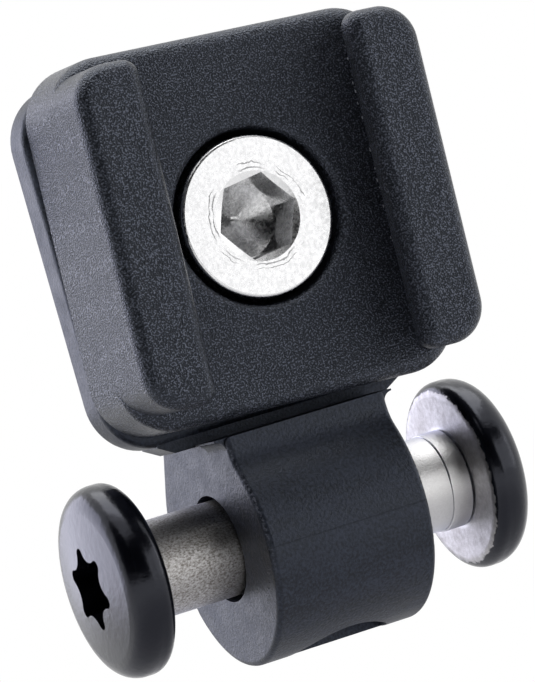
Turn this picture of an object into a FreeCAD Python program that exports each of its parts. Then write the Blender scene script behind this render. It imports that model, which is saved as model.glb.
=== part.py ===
import FreeCAD, Part
import math
import os

V = FreeCAD.Vector

# Stem cap mount adapter: a slotted rail plate clamped by one cap screw to a bracket,
# whose boss turns on a two-piece sleeve bolt between the lugs of a stem cap.
# Millimetres. The pivot axis is X through the origin, the rails face -Y, +Z is up.

# Pivot boss and the two-piece bolt through it
BOSS_D = 12.9
BOSS_W = 9.4
BOSS_EDGE = 0.3
SLEEVE_D = 5.2
BORE_PLAY = 0.3
GRIP = 19.0
BOLT_SHIFT = -0.25
HEAD_D = 10.35
HEAD_T = 2.35
HEAD_DOME = 0.25
HEAD_OUTER_R = 1.3
HEAD_INNER_R = 0.7
SLEEVE_END_STEP = 0.08
SLEEVE_END_L = 1.2
THREAD_D = 4.0
THREAD_L = 9.0
THREAD_PLAY = 0.15
END_GAP = 0.08
LOBES_D = 4.43
LOBES_WAIST_D = 3.17
LOBE_R = 0.37
LOBES_DEPTH = 1.9

# Clamp screw, an M5 socket cap screw, and its hex nut
SCREW_D = 5.0
SCREW_L = 8.0
SCREW_HEAD_D = 8.5
SCREW_HEAD_H = 5.0
SCREW_EDGE = 0.18
HEX_AF = 4.0
HEX_DEPTH = 2.5
HEX_TURN = 21.7
SOCKET_CHAMFER_D = 4.75
SOCKET_CHAMFER_SLOPE = 0.27
NUT_AF = 8.0
NUT_H = 4.0

# Levels along the clamp screw, and the turn of the rail plate about it
FLOOR_Y = -6.1
HEAD_SINK = 0.15
PLATE_BACK_Y = -1.85
PLATE_TURN = 2.45

# Rail plate
PLATE_W = 19.5
PLATE_H = 19.6
PLATE_CORNER = 3.0
PLATE_EDGE = 0.8
RAIL_H = 3.65
RAIL_L = 17.9
RAIL_RISE = 0.15
RAIL_CORNER = 2.0
RAIL_INNER_CORNER = 0.85
RAIL_EDGE = 0.8
SLOT_W = 11.9
LIP_T = 1.3
UNDERCUT = 1.6
CBORE_CLEAR = 0.35
CBORE_EDGE = 0.55
HUB_WALL = 1.9
HUB_L = 2.4
HUB_CLEAR = 0.3

# Bracket
PAD_T = 2.45
PAD_CORNER = 3.0
PAD_EDGE = 0.5
PAD_DROP = 0.35
PAD_GAP = 0.05
NUT_BOSS_WALL = 2.5
NUT_BOSS_EDGE = 0.5
NUT_WALL = 1.9
NUT_CLEAR = 0.15
SEAT_GAP = 0.05
HOLE_CLEAR = 0.3
WEB_TOP_Z = 11.4
NECK_INSET = 0.15
ROOT_LAND = 1.6
ROOT_REACH = 2.5
ROOT_DROP = 0.1
SHOULDER_SETBACK = 1.65
SHOULDER_DROP = 0.8
SHOULDER_HOLLOW_R = 1.8
SHOULDER_GAP = 0.4
SHOULDER_FLARE_R = 0.55
SHOULDER_LAND = 0.1
POCKET_D = 6.1
POCKET_DEPTH = 1.6
POCKET_BACK_Y = 0.2

# Sizes and levels that follow from the driving sizes
BORE_D = SLEEVE_D + 2 * BORE_PLAY
HOLE_D = SCREW_D + 2 * HOLE_CLEAR
CBORE_D = SCREW_HEAD_D + 2 * CBORE_CLEAR
HUB_D = CBORE_D + 2 * HUB_WALL
NUT_BOSS_D = (NUT_AF + 2 * NUT_CLEAR) * 2 / math.sqrt(3.0) + 2 * NUT_BOSS_WALL
RAIL_TOP_Y = FLOOR_Y - RAIL_H
SCREW_SEAT_Y = FLOOR_Y + HEAD_SINK + SCREW_HEAD_H
PAD_FRONT_Y = PLATE_BACK_Y + PAD_GAP
PAD_BACK_Y = PAD_FRONT_Y + PAD_T
NECK_FRONT_Y = PAD_FRONT_Y + NECK_INSET
HUB_END_Y = PLATE_BACK_Y + HUB_L
RECESS_Y = HUB_END_Y + SEAT_GAP
NUT_SEAT_Y = RECESS_Y + NUT_WALL
SHOULDER_Y = SHOULDER_SETBACK - BOSS_D / 2
SHOULDER_Z = BOSS_D / 2 - SHOULDER_DROP
PAD_Z = SHOULDER_Z + SHOULDER_GAP + PLATE_H / 2
SCREW_Z = PAD_Z + PAD_DROP
HALF_GRIP = GRIP / 2.0


def block(x0, x1, y0, y1, z0, z1):
    return Part.makeBox(x1 - x0, y1 - y0, z1 - z0, V(x0, y0, z0))


def rod_y(diameter, y0, y1, z=0.0):
    return Part.makeCylinder(diameter / 2.0, y1 - y0, V(0, y0, z), V(0, 1, 0))


def rod_x(diameter, x0, x1):
    return Part.makeCylinder(diameter / 2.0, x1 - x0, V(x0, 0, 0), V(1, 0, 0))


def hexagon_y(across_flats, y0, y1, z, turn=0.0):
    r = across_flats / math.sqrt(3.0)
    corners = []
    for k in range(7):
        a = math.radians(60.0 * k + turn)
        corners.append(V(r * math.sin(a), y0, z + r * math.cos(a)))
    return Part.Face(Part.makePolygon(corners)).extrude(V(0, y1 - y0, 0))


def edges_along_y(shape):
    """The straight edges of a block that run along Y."""
    found = []
    for edge in shape.Edges:
        a, b = edge.Vertexes[0].Point, edge.Vertexes[-1].Point
        if abs(a.x - b.x) < 1e-6 and abs(a.z - b.z) < 1e-6:
            found.append(edge)
    return found


def edges_at_y(shape, y):
    """The edges that lie wholly in the plane at this Y."""
    return [e for e in shape.Edges
            if abs(e.BoundBox.YMin - y) < 1e-6 and abs(e.BoundBox.YMax - y) < 1e-6]


def rounded_slab(width, height, corner, y0, y1, z):
    slab = block(-width / 2, width / 2, y0, y1, z - height / 2, z + height / 2)
    return slab.makeFillet(corner, edges_along_y(slab))


def rail(side):
    """One rail: a bar flush with the plate's side, with its lip over an open undercut."""
    inner, outer = SLOT_W / 2, PLATE_W / 2
    x0, x1 = (inner, outer) if side > 0 else (-outer, -inner)
    foot = FLOOR_Y + PLATE_EDGE + 0.1
    middle = SCREW_Z + RAIL_RISE
    bar = block(x0, x1, RAIL_TOP_Y, foot, middle - RAIL_L / 2, middle + RAIL_L / 2)
    ends = edges_along_y(bar)
    outside = [e for e in ends if abs(e.Vertexes[0].Point.x) > outer - 0.01]
    bar = bar.makeFillet(RAIL_CORNER, outside)
    ends = edges_along_y(bar)
    inside = [e for e in ends if abs(e.Vertexes[0].Point.x) < inner + 0.01]
    bar = bar.makeFillet(RAIL_INNER_CORNER, inside)
    return bar.makeFillet(RAIL_EDGE, edges_at_y(bar, RAIL_TOP_Y))


def rail_plate():
    plate = rounded_slab(PLATE_W, PLATE_H, PLATE_CORNER, FLOOR_Y, PLATE_BACK_Y, SCREW_Z)
    plate = plate.makeFillet(PLATE_EDGE, edges_at_y(plate, FLOOR_Y))
    body = plate.fuse(rail(1)).fuse(rail(-1))
    body = body.fuse(rod_y(HUB_D, PLATE_BACK_Y - 0.5, HUB_END_Y, SCREW_Z))
    channel = SLOT_W / 2 + UNDERCUT
    body = body.cut(block(-channel, channel, FLOOR_Y - (RAIL_H - LIP_T), FLOOR_Y,
                          SCREW_Z - PLATE_H, SCREW_Z + PLATE_H))
    body = body.cut(rod_y(CBORE_D, FLOOR_Y - 1.0, SCREW_SEAT_Y, SCREW_Z))
    body = body.cut(rod_y(HOLE_D, FLOOR_Y, HUB_END_Y + 1.0, SCREW_Z))
    body = body.removeSplitter()
    rim = [e for e in edges_at_y(body, FLOOR_Y)
           if abs(e.BoundBox.XLength - CBORE_D) < 1e-3]
    body = body.makeFillet(CBORE_EDGE, rim)
    body.rotate(V(0, 0, SCREW_Z), V(0, 1, 0), PLATE_TURN)
    return body


def knuckle():
    """Boss, front shoulder and web in one outline, drawn from the side and run along X.
    A hollow leads from the round of the boss up to the front of the shoulder."""
    r, hollow = BOSS_D / 2, SHOULDER_HOLLOW_R
    top = V(0, PAD_BACK_Y, WEB_TOP_Z)
    a = math.atan2(top.z, top.y) - math.acos(r / math.hypot(top.y, top.z))
    touch = V(0, r * math.cos(a), r * math.sin(a))
    out = SHOULDER_Y - hollow
    centre = V(0, out, math.sqrt((r + hollow) ** 2 - out * out))
    front = centre * (r / (r + hollow))
    brow = V(0, SHOULDER_Y, centre.z)
    bend = centre + ((front + brow) * 0.5 - centre).normalize() * hollow
    rest = [touch, top, V(0, NECK_FRONT_Y, WEB_TOP_Z), V(0, NECK_FRONT_Y, SHOULDER_Z),
            V(0, SHOULDER_Y, SHOULDER_Z), brow]
    outline = [Part.Arc(front, V(0, 0, -r), touch).toShape(), Part.Arc(brow, bend, front).toShape()]
    for p, q in zip(rest, rest[1:]):
        outline.append(Part.makeLine(p, q))
    solid = Part.Face(Part.Wire(outline)).extrude(V(BOSS_W, 0, 0))
    solid.translate(V(-BOSS_W / 2, 0, 0))
    ends = [e for e in solid.Edges if e.BoundBox.XLength < 1e-6]
    return solid.makeFillet(BOSS_EDGE, ends)


def flare(side, reach, rise, land, z_top, y0, y1):
    """Hollow bar in the corner between an end face of the knuckle and a face over it."""
    wall = BOSS_W / 2
    z_end = z_top - land
    radius = (reach * reach + rise * rise) / (2 * rise)
    first = math.atan2(radius - rise, -reach)
    half = (first + math.pi / 2) / 2
    start, end = V(side * wall, y0, z_end - rise), V(side * (wall + reach), y0, z_end)
    middle = V(side * (wall + reach + radius * math.cos(half)), y0,
               z_end - radius + radius * math.sin(half))
    corners = [end, V(end.x, y0, z_top), V(side * (wall - 0.5), y0, z_top),
               V(side * (wall - 0.5), y0, start.z), start]
    outline = [Part.Arc(start, middle, end).toShape()]
    for p, q in zip(corners, corners[1:]):
        outline.append(Part.makeLine(p, q))
    return Part.Face(Part.Wire(outline)).extrude(V(0, y1 - y0, 0))


def pad_root():
    """Shallow rib under the pad, just below the shoulder's level beside the neck and run out along
    the pad."""
    low, high = SHOULDER_Z - ROOT_DROP, PAD_Z - PLATE_H / 2
    near, far = BOSS_W / 2 + ROOT_LAND, BOSS_W / 2 + ROOT_REACH
    corners = [(-far, high), (-near, low), (near, low), (far, high), (far, high + PAD_EDGE),
               (-far, high + PAD_EDGE), (-far, high)]
    outline = Part.makePolygon([V(x, NECK_FRONT_Y, z) for x, z in corners])
    return Part.Face(outline).extrude(V(0, PAD_T - 2 * NECK_INSET, 0))


def bracket():
    pad = rounded_slab(PLATE_W, PLATE_H, PAD_CORNER, PAD_FRONT_Y, PAD_BACK_Y, PAD_Z)
    pad = pad.makeFillet(PAD_EDGE, edges_at_y(pad, PAD_FRONT_Y) + edges_at_y(pad, PAD_BACK_Y))
    body = knuckle()
    for side in (-1, 1):
        body = body.fuse(flare(side, SHOULDER_FLARE_R, SHOULDER_FLARE_R, SHOULDER_LAND, SHOULDER_Z,
                               SHOULDER_Y + BOSS_EDGE, NECK_FRONT_Y - BOSS_EDGE))
    body = body.fuse(pad).fuse(pad_root())
    nut_boss = rod_y(NUT_BOSS_D, PAD_BACK_Y - 0.5, NUT_SEAT_Y + NUT_H, SCREW_Z)
    nut_boss = nut_boss.makeFillet(NUT_BOSS_EDGE, edges_at_y(nut_boss, NUT_SEAT_Y + NUT_H))
    body = body.fuse(nut_boss)
    body = body.removeSplitter()
    body = body.cut(rod_y(HUB_D + 2 * HUB_CLEAR, PAD_FRONT_Y - 1.0, RECESS_Y, SCREW_Z))
    body = body.cut(rod_y(HOLE_D, RECESS_Y - 1.0, NUT_SEAT_Y + 1.0, SCREW_Z))
    body = body.cut(hexagon_y(NUT_AF + 2 * NUT_CLEAR, NUT_SEAT_Y, NUT_SEAT_Y + NUT_H + 1.0, SCREW_Z))
    body = body.cut(rod_x(BORE_D, -BOSS_W, BOSS_W))
    low = -BOSS_D / 2 - 1.0
    pocket = Part.makeCylinder(POCKET_D / 2, POCKET_DEPTH + 1.0, V(0, 0, low), V(0, 0, 1))
    front_half = block(-POCKET_D, POCKET_D, -POCKET_D, POCKET_BACK_Y, low, 0.0)
    return body.cut(pocket.common(front_half))


def six_lobe_cutter():
    """Six-lobed recess along +X from the origin: round lobes that run into hollow waists."""
    tip, waist, lobe_r = LOBES_D / 2, LOBES_WAIST_D / 2, LOBE_R
    lobe_at = tip - lobe_r
    c30 = math.cos(math.radians(30.0))
    # the hollow's centre lies where its arc just touches both lobes beside it
    gap = lobe_r - waist
    hollow_at = (lobe_at ** 2 - gap ** 2) / (2 * (lobe_at * c30 + gap))

    def at(radius, degrees):
        a = math.radians(degrees)
        return V(0, radius * math.cos(a), radius * math.sin(a))

    outline = []
    for k in range(6):
        lobe, next_lobe = at(lobe_at, 60.0 * k), at(lobe_at, 60.0 * k + 60.0)
        before, after = at(hollow_at, 60.0 * k - 30.0), at(hollow_at, 60.0 * k + 30.0)
        start = lobe + (before - lobe).normalize() * lobe_r
        end = lobe + (after - lobe).normalize() * lobe_r
        following = next_lobe + (after - next_lobe).normalize() * lobe_r
        outline.append(Part.Arc(start, at(tip, 60.0 * k), end).toShape())
        outline.append(Part.Arc(end, at(waist, 60.0 * k + 30.0), following).toShape())
    return Part.Face(Part.Wire(outline)).extrude(V(LOBES_DEPTH, 0, 0))


def head():
    """A bolt head about X: flat seat at X = 0, low dome and round edge towards +X."""
    r = HEAD_D / 2
    tall = HEAD_T + HEAD_DOME
    crown = r - HEAD_OUTER_R
    ball_r = (crown * crown + HEAD_DOME * HEAD_DOME) / (2 * HEAD_DOME)
    ball = Part.makeSphere(ball_r, V(tall - ball_r, 0, 0), V(0, 1, 0))
    solid = rod_x(HEAD_D, 0.0, tall + 1.0).common(ball)
    rims = [e for e in solid.Edges if e.BoundBox.XLength < 1e-6]
    outer = [e for e in rims if e.BoundBox.XMin > HEAD_T / 2]
    solid = solid.makeFillet(HEAD_OUTER_R, outer)
    rims = [e for e in solid.Edges if abs(e.BoundBox.XMax) < 1e-6]
    solid = solid.makeFillet(HEAD_INNER_R, rims)
    recess = six_lobe_cutter()
    recess.translate(V(tall - LOBES_DEPTH + 0.02, 0, 0))
    return solid.cut(recess)


def sleeve_nut():
    """Left half of the bolt: head, plain sleeve and the tapped bore in its far end."""
    end = HALF_GRIP - END_GAP
    top = head()
    top.rotate(V(0, 0, 0), V(0, 0, 1), 180.0)
    top.rotate(V(0, 0, 0), V(1, 0, 0), 24.0)
    top.translate(V(-HALF_GRIP, 0, 0))
    sleeve = rod_x(SLEEVE_D, -HALF_GRIP - 0.2, end)
    collar = rod_x(SLEEVE_D + 2 * SLEEVE_END_STEP, end - SLEEVE_END_L, end)
    collar = collar.makeFillet(0.07, [e for e in collar.Edges if e.BoundBox.XLength < 1e-6])
    body = top.fuse(sleeve).fuse(collar)
    bore = rod_x(THREAD_D + 2 * THREAD_PLAY, end - THREAD_L - 1.0, end + 1.0)
    body = body.cut(bore).removeSplitter()
    body.translate(V(BOLT_SHIFT, 0, 0))
    return body


def pivot_screw():
    """Right half of the bolt: the same head on a threaded shank."""
    top = head()
    top.rotate(V(0, 0, 0), V(1, 0, 0), 10.0)
    top.translate(V(HALF_GRIP, 0, 0))
    shank = rod_x(THREAD_D, HALF_GRIP - THREAD_L, HALF_GRIP + 0.2)
    tip = [e for e in shank.Edges if abs(e.BoundBox.XMax - (HALF_GRIP - THREAD_L)) < 1e-6]
    body = top.fuse(shank.makeChamfer(0.4, tip)).removeSplitter()
    body.translate(V(BOLT_SHIFT, 0, 0))
    return body


def clamp_screw():
    top = FLOOR_Y + HEAD_SINK
    cap = rod_y(SCREW_HEAD_D, top, SCREW_SEAT_Y, SCREW_Z)
    cap = cap.makeFillet(SCREW_EDGE, edges_at_y(cap, top))
    shank = rod_y(SCREW_D, SCREW_SEAT_Y - 0.2, SCREW_SEAT_Y + SCREW_L, SCREW_Z)
    tip = [e for e in edges_at_y(shank, SCREW_SEAT_Y + SCREW_L)]
    body = cap.fuse(shank.makeChamfer(0.5, tip)).removeSplitter()
    body = body.cut(hexagon_y(HEX_AF, top - 1.0, top + HEX_DEPTH, SCREW_Z, HEX_TURN))
    r = SOCKET_CHAMFER_D / 2
    lead = (SOCKET_CHAMFER_D - HEX_AF) / 2
    depth = lead * SOCKET_CHAMFER_SLOPE
    cone = Part.makeCone(r, r - lead, depth, V(0, top, SCREW_Z), V(0, 1, 0))
    drill = HEX_AF / 2 * 0.98
    point = Part.makeCone(drill, 0.0, drill * 0.6, V(0, top + HEX_DEPTH, SCREW_Z), V(0, 1, 0))
    return body.cut(cone).cut(point)


def clamp_nut():
    y0 = NUT_SEAT_Y + SEAT_GAP
    nut = hexagon_y(NUT_AF, y0, y0 + NUT_H, SCREW_Z)
    corners = rod_y(NUT_AF * 1.11, y0, y0 + NUT_H, SCREW_Z)
    corners = corners.makeChamfer(0.35, edges_at_y(corners, y0) + edges_at_y(corners, y0 + NUT_H))
    return nut.common(corners).cut(rod_y(SCREW_D + 2 * THREAD_PLAY, y0 - 1.0, y0 + NUT_H + 1.0, SCREW_Z))


PIECES = {
    "rail_plate": rail_plate,
    "bracket": bracket,
    "clamp_screw": clamp_screw,
    "clamp_nut": clamp_nut,
    "sleeve_nut": sleeve_nut,
    "pivot_screw": pivot_screw,
}

os.makedirs("parts", exist_ok=True)
for name, make in PIECES.items():
    shape = make()
    if len(shape.Solids) != 1 or not shape.isValid():
        raise ValueError("%s is not one valid solid" % name)
    shape.Solids[0].exportStep("parts/%s.step" % name)
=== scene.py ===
import math

import bpy
from mathutils import Matrix, Vector


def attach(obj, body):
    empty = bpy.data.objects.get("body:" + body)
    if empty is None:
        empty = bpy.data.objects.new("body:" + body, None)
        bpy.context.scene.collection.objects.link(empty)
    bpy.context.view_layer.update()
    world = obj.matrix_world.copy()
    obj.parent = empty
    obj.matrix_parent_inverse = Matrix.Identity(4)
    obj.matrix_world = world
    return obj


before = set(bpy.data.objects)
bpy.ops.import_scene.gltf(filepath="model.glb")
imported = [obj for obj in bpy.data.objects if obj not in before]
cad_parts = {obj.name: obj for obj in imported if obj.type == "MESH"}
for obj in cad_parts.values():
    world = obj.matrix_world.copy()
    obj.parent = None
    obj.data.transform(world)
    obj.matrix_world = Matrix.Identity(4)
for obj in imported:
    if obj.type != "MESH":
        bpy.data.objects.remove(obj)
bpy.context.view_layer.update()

MM = 0.001

# Sizes repeated from the part's source, lengths in millimetres and angles in radians
SCREW_Z = 16.2
SCREW_FACE_Y = -5.95
SCREW_TIP_Y = 7.05
SCREW_R = 2.5
HEX_HALF = 2.0
HEX_TURN = math.radians(21.7)
PLATE_TURN = math.radians(2.45)
SLOT_HALF = 5.95
LIP_Y = -8.45
BOSS_R = 6.45
BOSS_END_X = 4.7
LEFT_SEAT_X = 9.75
RIGHT_SEAT_X = 9.25
SLEEVE_R = 2.6
BOLT_R = 2.0
BOLT_TIP_X = 0.25
BARE_R = 4.77

# Rolled threads: standard coarse pitches of M5 and M4, in millimetres
SCREW_PITCH = 0.8
SCREW_TURNS = 8.3
SCREW_THREAD_L = 7.2
BOLT_PITCH = 0.7
BOLT_TURNS = 10.5
BOLT_LEAD = 0.5
RIDGE_H = 0.12

# Moulding flash on the right lip: its ends along the lip from the screw's level, in millimetres
FLASH_TOP = 7.9
FLASH_FOOT = -3.0
FLASH_COUNT = 17
CRUMB_R = 0.05
CRUMB_SCATTER = 0.05

# Marks on the surfaces, in millimetres: the mould hairline's level on the boss, the mean radius and
# width of each ring that the punch left round the socket, and how far noise moves a ragged edge
HAIRLINE_Z = -0.32
PUNCH_RINGS = ((2.54, 0.05), (2.78, 0.03))
RAGGED = 0.6

# Marks to the millimetre. The mould grain is finer than the picture can show, so it is drawn as
# coarse as it needs to show.
RAIL_GRAIN = 11.0
SATIN_GRAIN = 6.5
STEEL_PITS = 11.0

# Black nylon and black paint give a bluish sheen
NYLON_SHEEN = (0.74, 0.82, 1.0, 1.0)
PAINT_SHEEN = (0.82, 0.85, 1.0, 1.0)
NYLON_IOR = 1.53

# The studio: the floor's level and the point that the lamps face
FLOOR_Z = -45.0 * MM
LAMP_AIM = Vector((0.0, 0.0, 8.0 * MM))

# The photograph's viewing angle, found from points on the part, with the place in millimetres
CAMERA_RIGHT = Vector((0.87885, -0.39007, -0.27471))
CAMERA_UP = Vector((0.25655, -0.09906, 0.96144))
CAMERA_PLACE = Vector((-93.881, -216.366, 12.854))
SENSOR_W = 36.0
LENS = 235.7


def linear(hex_colour):
    """sRGB hex to the linear colour that a shader takes."""
    parts = [int(hex_colour[i:i + 2], 16) / 255.0 for i in (1, 3, 5)]
    return [c / 12.92 if c <= 0.04045 else ((c + 0.055) / 1.055) ** 2.4 for c in parts] + [1.0]


def feed(tree, node, inputs):
    """Links or sets a node's inputs, given by name or number."""
    for key, value in inputs.items():
        if isinstance(value, bpy.types.NodeSocket):
            tree.links.new(value, node.inputs[key])
        else:
            node.inputs[key].default_value = value


def add(tree, kind, inputs=None, **settings):
    """Adds a node, applies its settings and feeds its inputs."""
    made = tree.nodes.new(kind)
    for name, value in settings.items():
        setattr(made, name, value)
    feed(tree, made, inputs or {})
    return made


def blank_material(name):
    """A material with an empty node tree."""
    material = bpy.data.materials.new(name)
    material.use_nodes = True
    material.node_tree.nodes.clear()
    return material, material.node_tree


def new_material(name):
    """A material with its output, its shader and the piece's own millimetres."""
    material, tree = blank_material(name)
    shader = add(tree, "ShaderNodeBsdfPrincipled")
    add(tree, "ShaderNodeOutputMaterial", {"Surface": shader.outputs[0]})
    place = add(tree, "ShaderNodeTexCoord")
    mm = add(tree, "ShaderNodeMapping", {"Vector": place.outputs["Object"], "Scale": (1.0 / MM,) * 3})
    return material, tree, shader, mm.outputs[0]


def flat_faces(tree, turn):
    """One on faces square to the piece's own axes, falling to zero over its rounded edges."""
    place = add(tree, "ShaderNodeTexCoord")
    own = add(tree, "ShaderNodeVectorRotate", {"Vector": place.outputs["Normal"], "Angle": turn},
              rotation_type="Y_AXIS")
    size = add(tree, "ShaderNodeVectorMath", {0: own.outputs[0]}, operation="ABSOLUTE")
    axes = add(tree, "ShaderNodeSeparateXYZ", {0: size.outputs[0]})
    most = add(tree, "ShaderNodeMath", {0: axes.outputs[0], 1: axes.outputs[1]}, operation="MAXIMUM")
    most = add(tree, "ShaderNodeMath", {0: most.outputs[0], 1: axes.outputs[2]}, operation="MAXIMUM")
    return add(tree, "ShaderNodeMapRange", {"Value": most.outputs[0], "From Min": 0.93,
                                            "From Max": 0.995}).outputs[0]


def thin_line(tree, value, at, core, fade, level=1.0):
    """A line where a value is within core of a given one, gone where it is fade away from it."""
    off = add(tree, "ShaderNodeMath", {0: value, 1: at}, operation="SUBTRACT")
    off = add(tree, "ShaderNodeMath", {0: off.outputs[0]}, operation="ABSOLUTE")
    return add(tree, "ShaderNodeMapRange", {"Value": off.outputs[0], "From Min": core, "From Max": fade,
                                            "To Min": level, "To Max": 0.0}).outputs[0]


def grained_rail_nylon():
    """Black glass-filled nylon from a spark-eroded mould: a dense sandy grain that sparkles on the
    flats, and calmer rounded edges where the light runs in clean lines."""
    material, tree, shader, mm = new_material("black nylon, spark-eroded grain")
    flat = flat_faces(tree, -PLATE_TURN)
    grain = add(tree, "ShaderNodeTexNoise", {"Vector": mm, "Scale": RAIL_GRAIN, "Detail": 0.5,
                                             "Roughness": 0.6})
    patch = add(tree, "ShaderNodeTexNoise", {"Vector": mm, "Scale": 0.35, "Detail": 3.0})
    depth = add(tree, "ShaderNodeMapRange", {"Value": flat, "To Min": 0.65, "To Max": 1.0})
    bump = add(tree, "ShaderNodeBump", {"Height": grain.outputs["Fac"], "Strength": depth.outputs[0],
                                        "Distance": 0.1 * MM})
    tone = add(tree, "ShaderNodeMapRange", {"Value": grain.outputs["Fac"], "From Min": 0.52,
                                            "From Max": 0.66, "To Max": 1.0})
    tone = add(tree, "ShaderNodeMath", {0: tone.outputs[0], 1: depth.outputs[0]}, operation="MULTIPLY")
    tone = add(tree, "ShaderNodeMath", {0: patch.outputs["Fac"], 1: 0.06, 2: tone.outputs[0]},
               operation="MULTIPLY_ADD", use_clamp=True)
    colour = add(tree, "ShaderNodeMix", {"Factor": tone.outputs[0], 6: linear("#030406"),
                                         7: linear("#6c717f")}, data_type="RGBA")
    sandy = add(tree, "ShaderNodeMapRange", {"Value": grain.outputs["Fac"], "From Min": 0.42,
                                             "From Max": 0.62, "To Min": 0.52, "To Max": 0.18})
    rough = add(tree, "ShaderNodeMix", {"Factor": flat, 2: 0.3, 3: sandy.outputs[0]})
    feed(tree, shader, {"Base Color": colour.outputs[2], "Roughness": rough.outputs[0],
                        "Normal": bump.outputs[0], "IOR": NYLON_IOR, "Specular Tint": NYLON_SHEEN})
    return material


def satin_bracket_nylon():
    """The same black nylon from a smoother mould: a satin leathery face with faint flow marks, a
    hairline where the mould halves met across the boss, and a pale line on its upper rims that is a
    painted highlight."""
    material, tree, shader, mm = new_material("black nylon, satin mould face")
    axes = add(tree, "ShaderNodeSeparateXYZ", {0: mm})
    fine = add(tree, "ShaderNodeTexNoise", {"Vector": mm, "Scale": SATIN_GRAIN, "Detail": 2.0,
                                            "Roughness": 0.6})
    flow_at = add(tree, "ShaderNodeMapping", {"Vector": mm, "Scale": (0.25, 1.0, 1.0)})
    flow = add(tree, "ShaderNodeTexNoise", {"Vector": flow_at.outputs[0], "Scale": 0.8, "Detail": 4.0})
    # hairline along the front of the boss, a little under its middle
    level = add(tree, "ShaderNodeMath", {0: fine.outputs["Fac"], 1: 0.06, 2: axes.outputs[2]},
                operation="MULTIPLY_ADD")
    line = thin_line(tree, level.outputs[0], HAIRLINE_Z, 0.015, 0.05, 0.6)
    front = add(tree, "ShaderNodeMapRange", {"Value": axes.outputs[1], "From Min": -BOSS_R + 0.3,
                                             "From Max": -BOSS_R + 0.4, "To Min": 1.0, "To Max": 0.0})
    line = add(tree, "ShaderNodeMath", {0: line, 1: front.outputs[0]}, operation="MULTIPLY")
    # painted highlight: a pale line on the round of the boss's rims, above the bolt and on the front
    # only
    side = add(tree, "ShaderNodeMath", {0: axes.outputs[0]}, operation="ABSOLUTE")
    rim_highlight_band = add(tree, "ShaderNodeMapRange", {"Value": side.outputs[0], "From Min": BOSS_END_X - 0.2,
                                           "From Max": BOSS_END_X - 0.12})
    inner = add(tree, "ShaderNodeMapRange", {"Value": side.outputs[0], "From Min": BOSS_END_X - 0.08,
                                             "From Max": BOSS_END_X - 0.02, "To Min": 1.0,
                                             "To Max": 0.0})
    above = add(tree, "ShaderNodeMapRange", {"Value": axes.outputs[2], "From Min": -2.0,
                                             "From Max": 2.5})
    below = add(tree, "ShaderNodeMapRange", {"Value": axes.outputs[2], "From Min": 4.6,
                                             "From Max": 5.2, "To Min": 1.0, "To Max": 0.0})
    ahead = add(tree, "ShaderNodeMapRange", {"Value": axes.outputs[1], "From Min": -3.0,
                                             "From Max": -2.0, "To Min": 1.0, "To Max": 0.0})
    for limit in (inner, above, below, ahead):
        rim_highlight_band = add(tree, "ShaderNodeMath", {0: rim_highlight_band.outputs[0], 1: limit.outputs[0]},
                  operation="MULTIPLY")
    painted_rim_highlight = add(tree, "ShaderNodeMapRange", {"Value": fine.outputs["Fac"], "From Min": 0.45,
                                           "From Max": 0.65, "To Max": 0.55})
    painted_rim_highlight = add(tree, "ShaderNodeMath", {0: rim_highlight_band.outputs[0], 1: painted_rim_highlight.outputs[0]}, operation="MULTIPLY")
    tone = add(tree, "ShaderNodeMath", {0: flow.outputs["Fac"], 1: 0.35}, operation="MULTIPLY")
    tone = add(tree, "ShaderNodeMath", {0: fine.outputs["Fac"], 1: 0.65, 2: tone.outputs[0]},
               operation="MULTIPLY_ADD")
    tone = add(tree, "ShaderNodeMapRange", {"Value": tone.outputs[0], "From Min": 0.4,
                                            "From Max": 0.62})
    body = add(tree, "ShaderNodeMix", {"Factor": tone.outputs[0], 6: linear("#090a0d"),
                                       7: linear("#2e323e")}, data_type="RGBA")
    # the painted highlight's pale colour laid over the grain
    body = add(tree, "ShaderNodeMix", {"Factor": painted_rim_highlight.outputs[0], 6: body.outputs[2],
                                       7: linear("#a4a8b6")}, data_type="RGBA")
    colour = add(tree, "ShaderNodeMix", {"Factor": line.outputs[0], 6: body.outputs[2],
                                         7: linear("#0a0b0e")}, data_type="RGBA")
    height = add(tree, "ShaderNodeMath", {0: line.outputs[0], 1: -0.8, 2: fine.outputs["Fac"]},
                 operation="MULTIPLY_ADD")
    bump = add(tree, "ShaderNodeBump", {"Height": height.outputs[0], "Strength": 0.8,
                                        "Distance": 0.04 * MM})
    rough = add(tree, "ShaderNodeMapRange", {"Value": flow.outputs["Fac"], "From Min": 0.3,
                                             "From Max": 0.7, "To Min": 0.38, "To Max": 0.5})
    feed(tree, shader, {"Base Color": colour.outputs[2], "Roughness": rough.outputs[0],
                        "Normal": bump.outputs[0], "IOR": NYLON_IOR, "Specular Tint": NYLON_SHEEN})
    return material


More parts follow.
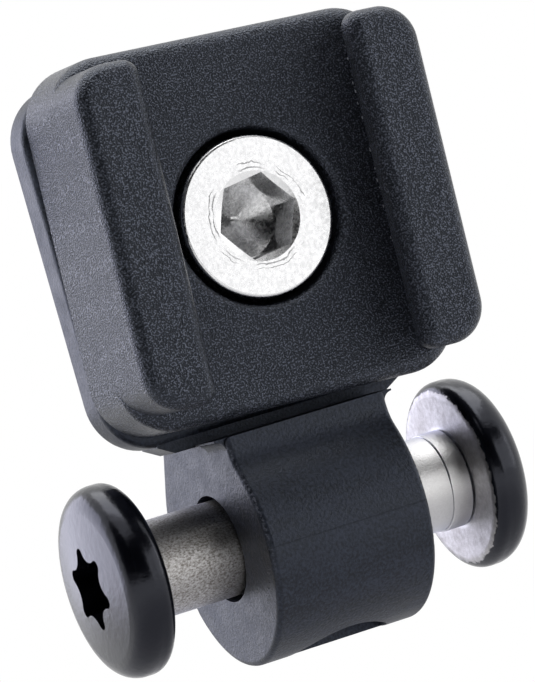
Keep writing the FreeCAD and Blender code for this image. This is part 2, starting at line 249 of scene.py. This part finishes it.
def bright_screw_steel():
    """Bright plated steel, cold headed: a near-white flat face with the punch's ragged rings
    round the socket, a painted highlight along the socket's hexagon, and broach lines down the socket's
    walls that darken deeper in as painted shade."""
    material, tree, shader, mm = new_material("bright plated steel, cold headed")
    axes = add(tree, "ShaderNodeSeparateXYZ", {0: mm})
    up = add(tree, "ShaderNodeMath", {0: axes.outputs[2], 1: SCREW_Z}, operation="SUBTRACT")
    across = add(tree, "ShaderNodeCombineXYZ", {0: axes.outputs[0], 1: up.outputs[0]})
    radius = add(tree, "ShaderNodeVectorMath", {0: across.outputs[0]}, operation="LENGTH")
    ragged = add(tree, "ShaderNodeTexNoise", {"Vector": mm, "Scale": 1.3, "Detail": 4.0})
    wander = add(tree, "ShaderNodeMath", {0: ragged.outputs["Fac"], 1: RAGGED,
                                          2: radius.outputs["Value"]}, operation="MULTIPLY_ADD")
    broken = add(tree, "ShaderNodeTexNoise", {"Vector": mm, "Scale": 0.8, "Detail": 2.0})
    broken = add(tree, "ShaderNodeMapRange", {"Value": broken.outputs["Fac"], "From Min": 0.44,
                                              "From Max": 0.58})
    lines = 0.0
    for ring_r, width in PUNCH_RINGS:
        ring = thin_line(tree, wander.outputs[0], ring_r + RAGGED / 2, width * 0.3, width)
        lines = add(tree, "ShaderNodeMath", {0: lines, 1: ring}, operation="MAXIMUM").outputs[0]
    lines = add(tree, "ShaderNodeMath", {0: lines, 1: broken.outputs[0]}, operation="MULTIPLY")
    depth = add(tree, "ShaderNodeMapRange", {"Value": axes.outputs[1], "From Min": SCREW_FACE_Y + 0.1,
                                             "From Max": SCREW_FACE_Y + 0.5})
    # painted highlight: a bright line along the edge of the socket's hexagon, from how far a point lies
    # from the middle towards the nearest of its flats
    reach = 0.0
    for degrees in (30.0, 90.0, 150.0):
        a = math.radians(degrees) + HEX_TURN
        towards = add(tree, "ShaderNodeVectorMath", {0: across.outputs[0],
                                                     1: (math.sin(a), math.cos(a), 0.0)},
                      operation="DOT_PRODUCT")
        towards = add(tree, "ShaderNodeMath", {0: towards.outputs["Value"]}, operation="ABSOLUTE")
        reach = add(tree, "ShaderNodeMath", {0: reach, 1: towards.outputs[0]},
                    operation="MAXIMUM").outputs[0]
    edge = thin_line(tree, reach, HEX_HALF + 0.005, 0.015, 0.05)
    near_face = add(tree, "ShaderNodeMapRange", {"Value": axes.outputs[1],
                                                 "From Min": SCREW_FACE_Y + 0.25,
                                                 "From Max": SCREW_FACE_Y + 0.32, "To Min": 1.0,
                                                 "To Max": 0.0})
    edge = add(tree, "ShaderNodeMath", {0: edge, 1: near_face.outputs[0]}, operation="MULTIPLY")
    # broach streaks down the socket's walls, darker only inside the socket: real broach marks, and
    # painted shade in the recess
    streak = add(tree, "ShaderNodeMapping", {"Vector": mm, "Scale": (6.0, 0.6, 6.0)})
    broach = add(tree, "ShaderNodeTexNoise", {"Vector": streak.outputs[0], "Scale": 1.2, "Detail": 5.0})
    broach = add(tree, "ShaderNodeMapRange", {"Value": broach.outputs["Fac"], "From Min": 0.3,
                                              "From Max": 0.7, "To Min": 0.0, "To Max": 0.4})
    broach_and_painted_shade = add(tree, "ShaderNodeMath", {0: broach.outputs[0], 1: depth.outputs[0]},
                 operation="MULTIPLY")
    skin = add(tree, "ShaderNodeTexNoise", {"Vector": mm, "Scale": 5.0, "Detail": 4.0})
    tone = add(tree, "ShaderNodeMath", {0: lines.outputs[0], 1: 0.7, 2: broach_and_painted_shade.outputs[0]},
               operation="MULTIPLY_ADD", use_clamp=True)
    # lightens the colour along the hexagon's edge: painted highlight
    tone = add(tree, "ShaderNodeMath", {0: tone.outputs[0], 1: edge.outputs[0]},
               operation="SUBTRACT", use_clamp=True)
    colour = add(tree, "ShaderNodeMix", {"Factor": tone.outputs[0], 6: linear("#e9e9ea"),
                                         7: linear("#464648")}, data_type="RGBA")
    rough = add(tree, "ShaderNodeMapRange", {"Value": skin.outputs["Fac"], "From Min": 0.3,
                                             "From Max": 0.7, "To Min": 0.2, "To Max": 0.34})
    height = add(tree, "ShaderNodeMath", {0: lines.outputs[0], 1: -0.6, 2: skin.outputs["Fac"]},
                 operation="MULTIPLY_ADD")
    bump = add(tree, "ShaderNodeBump", {"Height": height.outputs[0], "Strength": 0.3,
                                        "Distance": 0.02 * MM})
    feed(tree, shader, {"Base Color": colour.outputs[2], "Roughness": rough.outputs[0],
                        "Normal": bump.outputs[0], "Metallic": 1.0})
    return material


def painted_bolt_steel(name, side, seat_x):
    """One half of the pivot bolt: glossy black paint on the head that ends in a ragged edge under
    it, a mottled bare seat, and a bare tumbled shank freckled with small dark pits."""
    material, tree, shader, mm = new_material(name)
    axes = add(tree, "ShaderNodeSeparateXYZ", {0: mm})
    out = add(tree, "ShaderNodeMath", {0: axes.outputs[0], 1: float(side)}, operation="MULTIPLY")
    across = add(tree, "ShaderNodeCombineXYZ", {0: axes.outputs[1], 1: axes.outputs[2]})
    radius = add(tree, "ShaderNodeVectorMath", {0: across.outputs[0]}, operation="LENGTH")
    ragged = add(tree, "ShaderNodeTexNoise", {"Vector": mm, "Scale": 2.6, "Detail": 5.0,
                                              "Roughness": 0.7})
    edge = add(tree, "ShaderNodeMath", {0: ragged.outputs["Fac"], 1: RAGGED,
                                        2: radius.outputs["Value"]}, operation="MULTIPLY_ADD")
    wide = add(tree, "ShaderNodeMapRange", {"Value": edge.outputs[0],
                                            "From Min": BARE_R + RAGGED / 2 - 0.03,
                                            "From Max": BARE_R + RAGGED / 2 + 0.03})
    proud = add(tree, "ShaderNodeMapRange", {"Value": out.outputs[0], "From Min": seat_x + 0.3,
                                             "From Max": seat_x + 0.34})
    paint = add(tree, "ShaderNodeMath", {0: wide.outputs[0], 1: proud.outputs[0]}, operation="MAXIMUM")
    drawn = add(tree, "ShaderNodeMapping", {"Vector": mm, "Scale": (0.7, 1.0, 1.0)})
    pits = add(tree, "ShaderNodeTexNoise", {"Vector": drawn.outputs[0], "Scale": STEEL_PITS,
                                            "Detail": 3.0, "Roughness": 0.65})
    cloud = add(tree, "ShaderNodeTexNoise", {"Vector": mm, "Scale": 0.7, "Detail": 3.0})
    pitted = add(tree, "ShaderNodeMapRange", {"Value": pits.outputs["Fac"], "From Min": 0.38,
                                              "From Max": 0.72})
    # painted shade along X: the pits and cloudy tone fade out from the sleeve's end by its own head
    # towards its other end, so the head's end is darker and the other end lighter
    painted_shade_ramp = add(tree, "ShaderNodeMapRange", {"Value": axes.outputs[0], "From Min": -3.0,
                                              "From Max": 4.0, "To Min": 1.0, "To Max": 0.12})
    pitted = add(tree, "ShaderNodeMath", {0: pitted.outputs[0], 1: painted_shade_ramp.outputs[0]},
                 operation="MULTIPLY")
    shaded_cloud = add(tree, "ShaderNodeMath", {0: cloud.outputs["Fac"], 1: painted_shade_ramp.outputs[0]},
               operation="MULTIPLY")
    tone_and_painted_shade = add(tree, "ShaderNodeMath", {0: shaded_cloud.outputs[0], 1: 0.45, 2: pitted.outputs[0]},
               operation="MULTIPLY_ADD", use_clamp=True)
    seat = add(tree, "ShaderNodeMapRange", {"Value": radius.outputs["Value"],
                                            "From Min": SLEEVE_R + 0.1, "From Max": SLEEVE_R + 0.3})
    mottle = add(tree, "ShaderNodeMapRange", {"Value": ragged.outputs["Fac"], "From Min": 0.34,
                                              "From Max": 0.66, "To Min": 0.14, "To Max": 0.44})
    grey = add(tree, "ShaderNodeMath", {0: cloud.outputs["Fac"], 1: 0.5, 2: mottle.outputs[0]},
               operation="MULTIPLY_ADD", use_clamp=True)
    tone_and_painted_shade = add(tree, "ShaderNodeMix", {"Factor": seat.outputs[0], 2: tone_and_painted_shade.outputs[0],
                                       3: grey.outputs[0]})
    # the steel's colour: pits, cloud and seat mottle, with the painted shade along X
    steel = add(tree, "ShaderNodeMix", {"Factor": tone_and_painted_shade.outputs[0], 6: linear("#e4e3e3"),
                                        7: linear("#8f8983")}, data_type="RGBA")
    colour = add(tree, "ShaderNodeMix", {"Factor": paint.outputs[0], 6: steel.outputs[2],
                                         7: linear("#0b0c12")}, data_type="RGBA")
    metal = add(tree, "ShaderNodeMath", {0: 1.0, 1: paint.outputs[0]}, operation="SUBTRACT")
    bare = add(tree, "ShaderNodeMapRange", {"Value": tone_and_painted_shade.outputs[0], "To Min": 0.32, "To Max": 0.5})
    gloss = add(tree, "ShaderNodeMix", {"Factor": paint.outputs[0], 2: bare.outputs[0], 3: 0.19})
    peel = add(tree, "ShaderNodeTexNoise", {"Vector": mm, "Scale": 2.2, "Detail": 5.0,
                                            "Roughness": 0.65})
    height = add(tree, "ShaderNodeMix", {"Factor": paint.outputs[0], 2: pits.outputs["Fac"],
                                         3: peel.outputs["Fac"]})
    bump = add(tree, "ShaderNodeBump", {"Height": height.outputs[0], "Strength": 0.6,
                                        "Distance": 0.03 * MM})
    feed(tree, shader, {"Base Color": colour.outputs[2], "Metallic": metal.outputs[0],
                        "Roughness": gloss.outputs[0], "Normal": bump.outputs[0],
                        "Specular Tint": PAINT_SHEEN})
    return material


def zinc_plated_steel():
    """Zinc-plated steel, formed and tumbled: a soft grey sheen with cloudy patches."""
    material, tree, shader, mm = new_material("zinc plated steel, tumbled")
    cloud = add(tree, "ShaderNodeTexNoise", {"Vector": mm, "Scale": 1.2, "Detail": 5.0})
    dents = add(tree, "ShaderNodeTexNoise", {"Vector": mm, "Scale": 4.0, "Detail": 2.0})
    colour = add(tree, "ShaderNodeMix", {"Factor": cloud.outputs["Fac"], 6: linear("#c9cacc"),
                                         7: linear("#8e9195")}, data_type="RGBA")
    rough = add(tree, "ShaderNodeMapRange", {"Value": cloud.outputs["Fac"], "To Min": 0.22,
                                             "To Max": 0.48})
    bump = add(tree, "ShaderNodeBump", {"Height": dents.outputs["Fac"], "Strength": 0.4,
                                        "Distance": 0.02 * MM})
    feed(tree, shader, {"Base Color": colour.outputs[2], "Roughness": rough.outputs[0],
                        "Normal": bump.outputs[0], "Metallic": 1.0})
    return material


def flash_painted_highlight():
    """Stretched crumbs of nylon flash, coloured pale as a painted highlight for the glints along the
    lip's edge.
    """
    material, tree, shader, mm = new_material("nylon flash, painted highlight")
    mottle = add(tree, "ShaderNodeTexNoise", {"Vector": mm, "Scale": 8.0, "Detail": 2.0})
    # pale mottle on the crumbs: painted highlight
    colour = add(tree, "ShaderNodeMix", {"Factor": mottle.outputs["Fac"], 6: linear("#5c606c"),
                                         7: linear("#c4c7d0")}, data_type="RGBA")
    feed(tree, shader, {"Base Color": colour.outputs[2], "Roughness": 0.6})
    return material


plate_nylon = grained_rail_nylon()
bracket_nylon = satin_bracket_nylon()
screw_steel = bright_screw_steel()
nut_steel = zinc_plated_steel()
sleeve_steel = painted_bolt_steel("tumbled steel sleeve, painted head", -1, LEFT_SEAT_X)
bolt_steel = painted_bolt_steel("painted steel head, bare seat", 1, RIGHT_SEAT_X)
flash_highlight_nylon = flash_painted_highlight()

for node_name, finish in (("rail_plate", plate_nylon), ("bracket", bracket_nylon),
                          ("clamp_screw", screw_steel), ("clamp_nut", nut_steel),
                          ("sleeve_nut", sleeve_steel), ("pivot_screw", bolt_steel)):
    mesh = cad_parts[node_name].data
    mesh.materials.clear()
    mesh.materials.append(finish)


def new_tree(name, inputs):
    """A geometry tree with named inputs, each given as a name and a kind of socket."""
    tree = bpy.data.node_groups.new(name, "GeometryNodeTree")
    tree.interface.new_socket("Geometry", in_out="OUTPUT", socket_type="NodeSocketGeometry")
    for label, kind in inputs:
        tree.interface.new_socket(label, in_out="INPUT", socket_type=kind)
    return tree, add(tree, "NodeGroupInput").outputs


def close_tree(tree, geometry, finish):
    """Ends a geometry tree in real meshes that carry their material."""
    real = add(tree, "GeometryNodeRealizeInstances", {0: geometry})
    dressed = add(tree, "GeometryNodeSetMaterial", {0: real.outputs[0], "Material": finish})
    add(tree, "NodeGroupOutput", {0: dressed.outputs[0]})


def grow(name, tree, values, body):
    """Runs a geometry tree with these input values and keeps its result as a plain mesh piece."""
    holder = bpy.data.objects.new(name + "_maker", bpy.data.meshes.new(name + "_maker"))
    bpy.context.scene.collection.objects.link(holder)
    modifier = holder.modifiers.new("maker", "NODES")
    modifier.node_group = tree
    for socket in tree.interface.items_tree:
        if socket.in_out == "INPUT" and socket.name in values:
            modifier[socket.identifier] = values[socket.name]
    ready = holder.evaluated_get(bpy.context.evaluated_depsgraph_get())
    mesh = bpy.data.meshes.new_from_object(ready)
    bpy.data.objects.remove(holder)
    piece = bpy.data.objects.new(name, mesh)
    bpy.context.scene.collection.objects.link(piece)
    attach(piece, body)


def thread_tree():
    """A rolled thread: one sharp ridge wound round a shank along Z."""
    tree, given = new_tree("rolled thread", [
        ("Root Radius", "NodeSocketFloat"), ("Ridge Height", "NodeSocketFloat"),
        ("Turns", "NodeSocketFloat"), ("Length", "NodeSocketFloat"),
        ("Place", "NodeSocketVector"), ("Tilt", "NodeSocketVector"), ("Finish", "NodeSocketMaterial")])
    path = add(tree, "GeometryNodeCurveSpiral", {"Resolution": 48, "Rotations": given["Turns"],
                                                 "Start Radius": given["Root Radius"],
                                                 "End Radius": given["Root Radius"],
                                                 "Height": given["Length"]})
    upright = add(tree, "GeometryNodeSetCurveNormal", {0: path.outputs[0]}, mode="Z_UP")
    ridge = add(tree, "GeometryNodeCurvePrimitiveCircle", {"Resolution": 4,
                                                           "Radius": given["Ridge Height"]})
    wound = add(tree, "GeometryNodeCurveToMesh", {0: upright.outputs[0], 1: ridge.outputs[0]})
    sharp = add(tree, "GeometryNodeSetShadeSmooth", {0: wound.outputs[0], "Shade Smooth": False})
    put = add(tree, "GeometryNodeTransform", {0: sharp.outputs[0], "Translation": given["Place"],
                                              "Rotation": given["Tilt"]})
    close_tree(tree, put.outputs[0], given["Finish"])
    return tree


def flash_tree():
    """Crumbs of moulding flash along an edge, shaken mostly along it and stretched the same way."""
    tree, given = new_tree("flash crumbs", [
        ("Start", "NodeSocketVector"), ("End", "NodeSocketVector"), ("Count", "NodeSocketInt"),
        ("Crumb Size", "NodeSocketFloat"), ("Scatter", "NodeSocketFloat"), ("Seed", "NodeSocketInt"),
        ("Finish", "NodeSocketMaterial")])
    edge = add(tree, "GeometryNodeCurvePrimitiveLine", {"Start": given["Start"], "End": given["End"]})
    spots = add(tree, "GeometryNodeCurveToPoints", {0: edge.outputs[0], "Count": given["Count"]})
    low = add(tree, "ShaderNodeVectorMath", {0: (-1.0, -0.02, -14.0), "Scale": given["Scatter"]},
              operation="SCALE")
    high = add(tree, "ShaderNodeVectorMath", {0: (0.2, 1.0, 14.0), "Scale": given["Scatter"]},
               operation="SCALE")
    shake = add(tree, "FunctionNodeRandomValue", {"Min": low.outputs[0], "Max": high.outputs[0],
                                                  "Seed": given["Seed"]}, data_type="FLOAT_VECTOR")
    moved = add(tree, "GeometryNodeSetPosition", {0: spots.outputs[0], "Offset": shake.outputs[0]})
    crumb = add(tree, "GeometryNodeMeshIcoSphere", {"Radius": given["Crumb Size"], "Subdivisions": 2})
    scale = add(tree, "FunctionNodeRandomValue", {"Min": (0.35, 0.35, 0.5), "Max": (0.8, 0.8, 1.9),
                                                  "Seed": given["Seed"]}, data_type="FLOAT_VECTOR")
    strewn = add(tree, "GeometryNodeInstanceOnPoints", {0: moved.outputs[0],
                                                        "Instance": crumb.outputs[0],
                                                        "Scale": scale.outputs[0]})
    close_tree(tree, strewn.outputs[0], given["Finish"])
    return tree


def on_right_lip(z):
    """A place along the inner edge of the right lip, turned with the rail plate, in metres."""
    s, c = math.sin(PLATE_TURN), math.cos(PLATE_TURN)
    return (Vector((SLOT_HALF * c + z * s, LIP_Y, SCREW_Z - SLOT_HALF * s + z * c)) * MM)[:]


rolled_thread = thread_tree()
flash_crumbs = flash_tree()

grow("clamp_screw_thread", rolled_thread, {
    "Root Radius": SCREW_R * MM, "Ridge Height": RIDGE_H * MM,
    "Turns": SCREW_TURNS, "Length": SCREW_TURNS * SCREW_PITCH * MM,
    "Place": (0.0, (SCREW_TIP_Y - SCREW_THREAD_L) * MM, SCREW_Z * MM),
    "Tilt": (-math.pi / 2, 0.0, 0.0), "Finish": screw_steel}, "clamp_screw")
grow("pivot_screw_thread", rolled_thread, {
    "Root Radius": BOLT_R * MM, "Ridge Height": RIDGE_H * MM,
    "Turns": BOLT_TURNS, "Length": BOLT_TURNS * BOLT_PITCH * MM,
    "Place": ((BOLT_TIP_X + BOLT_LEAD) * MM, 0.0, 0.0),
    "Tilt": (0.0, math.pi / 2, 0.0), "Finish": bolt_steel}, "pivot_screw")
grow("right_lip_flash", flash_crumbs, {
    "Start": on_right_lip(FLASH_TOP), "End": on_right_lip(FLASH_FOOT), "Count": FLASH_COUNT,
    "Crumb Size": CRUMB_R * MM, "Scatter": CRUMB_SCATTER * MM, "Seed": 4, "Finish": flash_highlight_nylon},
    "rail_plate")


def plane(name, corners, material):
    """One flat face of the studio."""
    mesh = bpy.data.meshes.new(name)
    mesh.from_pydata(corners, [], [tuple(range(len(corners)))])
    mesh.materials.append(material)
    made = bpy.data.objects.new(name, mesh)
    bpy.context.scene.collection.objects.link(made)
    return made


def seen_directly(tree):
    """One for rays from the camera, or off gloss or through glass, and zero for soft light."""
    path = add(tree, "ShaderNodeLightPath")
    seen = add(tree, "ShaderNodeMath", {0: path.outputs["Is Camera Ray"],
                                        1: path.outputs["Is Glossy Ray"]}, operation="MAXIMUM")
    seen = add(tree, "ShaderNodeMath", {0: seen.outputs[0], 1: path.outputs["Is Transmission Ray"]},
               operation="MAXIMUM")
    return seen.outputs[0]


def pale_floor():
    """A pale floor well under the part: it takes the shadow, and far off it runs into white."""
    material, tree = blank_material("pale studio floor")
    place = add(tree, "ShaderNodeTexCoord")
    away = add(tree, "ShaderNodeVectorMath", {0: place.outputs["Object"]}, operation="LENGTH")
    far = add(tree, "ShaderNodeMapRange", {"Value": away.outputs["Value"], "From Min": 0.07,
                                           "From Max": 0.14})
    fac = add(tree, "ShaderNodeMath", {0: far.outputs[0], 1: seen_directly(tree)},
              operation="MULTIPLY")
    matt = add(tree, "ShaderNodeBsdfDiffuse", {"Color": linear("#f4f4f4")})
    white = add(tree, "ShaderNodeEmission", {"Color": (1, 1, 1, 1), "Strength": 1.0})
    both = add(tree, "ShaderNodeMixShader", {0: fac.outputs[0], 1: matt.outputs[0],
                                             2: white.outputs[0]})
    add(tree, "ShaderNodeOutputMaterial", {"Surface": both.outputs[0]})
    half = 6.0
    plane("floor", [(-half, -half, FLOOR_Z), (half, -half, FLOOR_Z), (half, half, FLOOR_Z),
                    (-half, half, FLOOR_Z)], material)


def dark_cards():
    """Dark cards behind the camera and on its left, for black to reflect, kept out of the picture."""
    material, tree = blank_material("dark studio card")
    matt = add(tree, "ShaderNodeBsdfDiffuse", {"Color": linear("#1c1c1c")})
    add(tree, "ShaderNodeOutputMaterial", {"Surface": matt.outputs[0]})
    high, wide, away, front = 0.9, 1.2, -0.75, 0.1
    rear = plane("rear_card", [(-wide, away, FLOOR_Z), (wide, away, FLOOR_Z), (wide, away, high),
                               (-wide, away, high)], material)
    left = plane("left_card", [(away, away, FLOOR_Z), (away, front, FLOOR_Z), (away, front, high),
                               (away, away, high)], material)
    for card in (rear, left):
        card.visible_camera = False


def white_world():
    """A white surround where it is seen, that adds only a little soft light."""
    world = bpy.data.worlds.new("white studio")
    bpy.context.scene.world = world
    world.use_nodes = True
    tree = world.node_tree
    tree.nodes.clear()
    level = add(tree, "ShaderNodeMapRange", {"Value": seen_directly(tree), "To Min": 0.06,
                                             "To Max": 1.0})
    back = add(tree, "ShaderNodeBackground", {"Color": (1, 1, 1, 1), "Strength": level.outputs[0]})
    add(tree, "ShaderNodeOutputWorld", {"Surface": back.outputs[0]})


def softbox(name, direction, distance, width, height, radiance, colour=(1.0, 1.0, 1.0)):
    """A rectangular soft lamp that faces the part; its brightness is given as seen, where 1 is white."""
    lamp = bpy.data.lights.new(name, "AREA")
    lamp.shape = "RECTANGLE"
    lamp.size, lamp.size_y = width, height
    lamp.energy = radiance * 4.0 * width * height
    lamp.color = colour
    made = bpy.data.objects.new(name, lamp)
    bpy.context.scene.collection.objects.link(made)
    towards = Vector(direction).normalized()
    made.location = towards * distance + LAMP_AIM
    made.rotation_mode = "QUATERNION"
    made.rotation_quaternion = (-towards).to_track_quat("-Z", "Y")


def photograph_camera():
    """The camera, at the photograph's viewing angle."""
    data = bpy.data.cameras.new("camera")
    data.sensor_width = SENSOR_W
    data.lens = LENS
    data.clip_start, data.clip_end = 0.005, 20.0
    camera = bpy.data.objects.new("camera", data)
    bpy.context.scene.collection.objects.link(camera)
    turn = Matrix((CAMERA_RIGHT, CAMERA_UP, CAMERA_RIGHT.cross(CAMERA_UP))).transposed().to_4x4()
    camera.matrix_world = Matrix.Translation(CAMERA_PLACE * MM) @ turn
    bpy.context.scene.camera = camera


pale_floor()
dark_cards()
white_world()
softbox("back_left_softbox", (-0.55, 0.8, 0.15), 0.5, 0.45, 0.5, 1.65, (0.9, 0.9, 1.12))
softbox("top_softbox", (0.1, 0.15, 1.0), 0.5, 0.6, 0.5, 1.7)
softbox("front_right_softbox", (0.67, -0.74, 0.06), 0.6, 0.6, 0.5, 1.08)
photograph_camera()
bpy.context.scene.view_settings.view_transform = "Standard"
